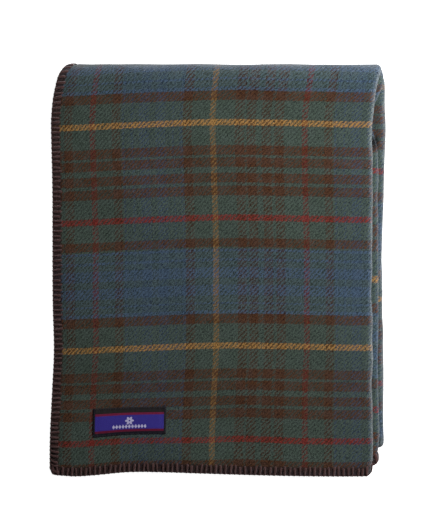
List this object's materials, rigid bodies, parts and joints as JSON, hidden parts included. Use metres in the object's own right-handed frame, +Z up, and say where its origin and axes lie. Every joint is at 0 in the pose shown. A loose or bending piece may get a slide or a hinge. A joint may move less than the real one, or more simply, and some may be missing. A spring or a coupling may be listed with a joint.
{
  "type": "camp blanket",
  "caption": "Folded brushed wool tartan throw with stitched edges and a small woven label, whose upper half opens like a book about its top fold.",
  "frame": {"origin": "under the middle of the folded blanket's footprint, on the surface that it lies on", "axes": "+Z up through the layers, +Y towards the top fold, +X from the stitched edges towards the side folds"},
  "size_m": [0.3592, 0.445, 0.047],
  "materials": {
    "tartan_wool": "brushed 2/2 twill with a soft nap",
    "edge_yarn": "thick blanket stitch yarn",
    "label_weave": "smooth damask label weave",
    "label_thread": "fine sewing thread"
  },
  "bodies": {
    "lower_half": {"cloth_back": "tartan_wool", "cloth_top_fold_outer": "tartan_wool", "cloth_top_fold_inner": "tartan_wool", "left_edge_stitching_back": "edge_yarn", "left_edge_stitching_top_fold_outer": "edge_yarn", "left_edge_stitching_top_fold_inner": "edge_yarn", "right_edge_stitching_back": "edge_yarn", "right_edge_stitching_top_fold_outer": "edge_yarn", "right_edge_stitching_top_fold_inner": "edge_yarn"},
    "upper_half": {"cloth_front": "tartan_wool", "cloth_second": "tartan_wool", "left_edge_stitching_front": "edge_yarn", "left_edge_stitching_second": "edge_yarn", "right_edge_stitching_front": "edge_yarn", "right_edge_stitching_second": "edge_yarn", "outer_end_stitching": "edge_yarn", "inner_end_stitching": "edge_yarn", "label": "label_weave", "label_stitching": "label_thread"}
  },
  "joints": [
    {"name": "top_fold_hinge", "type": "hinge", "parent": "lower_half", "child": "upper_half", "pos_m": [0, 0.1995, 0.02305], "axis": [-1, 0, 0], "range_deg": [0, 179.9], "deforming": ["cloth_top_fold_outer", "cloth_top_fold_inner", "left_edge_stitching_top_fold_outer", "left_edge_stitching_top_fold_inner", "right_edge_stitching_top_fold_outer", "right_edge_stitching_top_fold_inner"]}
  ]
}
